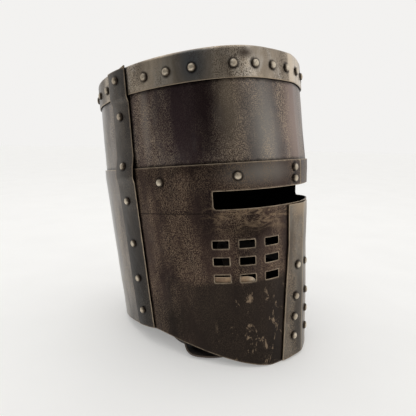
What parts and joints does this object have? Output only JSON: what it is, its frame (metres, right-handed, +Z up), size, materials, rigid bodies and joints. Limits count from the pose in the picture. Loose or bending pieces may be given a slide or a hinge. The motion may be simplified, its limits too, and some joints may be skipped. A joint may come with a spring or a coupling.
{
  "type": "great helm",
  "caption": "Flat-topped great helm of riveted dark steel plates with an eye slot, breathing holes, leather suspension liner and buckled chin strap.",
  "frame": {"origin": "on the floor, under the middle of the helmet's box", "axes": "+Z up; the face looks along -Y; +X to the wearer's left. The helmet stands tipped back by 5.6 degrees, as in use on a table."},
  "size_m": [0.2082, 0.288, 0.3219],
  "materials": {
    "black_steel": "blackened, scuffed and mottled, satin",
    "band_steel": "worn warm grey, mottled",
    "strip_steel": "dark satin with bright worn edges",
    "rivet_steel": "pale, polished by wear",
    "tan_leather": "undyed, matt",
    "brown_leather": "dark brown with pale cut edges",
    "buckle_brass": "tarnished"
  },
  "bodies": {
    "helmet": {"brow_rivet_left_1": "rivet_steel", "brow_rivet_left_2": "rivet_steel", "brow_rivet_rear_1": "rivet_steel", "brow_rivet_rear_2": "rivet_steel", "brow_rivet_rear_3": "rivet_steel", "brow_rivet_right_1": "rivet_steel", "brow_rivet_right_2": "rivet_steel", "brow_rivet_right_3": "rivet_steel", "brow_rivet_right_4": "rivet_steel", "cheek_strip_left": "tan_leather", "cheek_strip_right": "tan_leather", "face_plate_left": "black_steel", "face_plate_right": "black_steel", "liner_crown_disc": "tan_leather", "liner_headband": "tan_leather", "liner_tongue_1": "tan_leather", "liner_tongue_2": "tan_leather", "liner_tongue_3": "tan_leather", "liner_tongue_4": "tan_leather", "liner_tongue_5": "tan_leather", "liner_tongue_6": "tan_leather", "nape_plate": "black_steel", "nasal_plate": "strip_steel", "nasal_rivet_left_1": "rivet_steel", "nasal_rivet_left_2": "rivet_steel", "nasal_rivet_left_3": "rivet_steel", "nasal_rivet_left_4": "rivet_steel", "nasal_rivet_right_1": "rivet_steel", "nasal_rivet_right_2": "rivet_steel", "nasal_rivet_right_3": "rivet_steel", "nasal_rivet_right_4": "rivet_steel", "side_strip_left": "strip_steel", "side_strip_right": "strip_steel", "skull_plate_front": "black_steel", "skull_plate_rear": "black_steel", "strip_rivet_left_1": "rivet_steel", "strip_rivet_left_2": "rivet_steel", "strip_rivet_left_3": "rivet_steel", "strip_rivet_left_4": "rivet_steel", "strip_rivet_left_5": "rivet_steel", "strip_rivet_left_6": "rivet_steel", "strip_rivet_left_7": "rivet_steel", "strip_rivet_right_1": "rivet_steel", "strip_rivet_right_2": "rivet_steel", "strip_rivet_right_3": "rivet_steel", "strip_rivet_right_4": "rivet_steel", "strip_rivet_right_5": "rivet_steel", "strip_rivet_right_6": "rivet_steel", "strip_rivet_right_7": "rivet_steel", "top_band": "band_steel", "top_plate": "black_steel"},
    "chin_strap": {"chin_strap_right": "brown_leather", "chin_strap_left": "brown_leather", "buckle_frame": "buckle_brass", "strap_keeper": "brown_leather"},
    "prong": {"buckle_prong": "buckle_brass"}
  },
  "joints": [
    {"name": "chin_strap_swing", "type": "hinge", "parent": "helmet", "child": "chin_strap", "pos_m": [0, 0.01692, 0.07581], "axis": [1, 0, 0], "range_deg": [-1, 40]},
    {"name": "buckle_prong_lift", "type": "hinge", "parent": "chin_strap", "child": "prong", "pos_m": [-0.01, -0.07808, 0.0047], "axis": [0, -1, 0], "range_deg": [0, 35]}
  ]
}
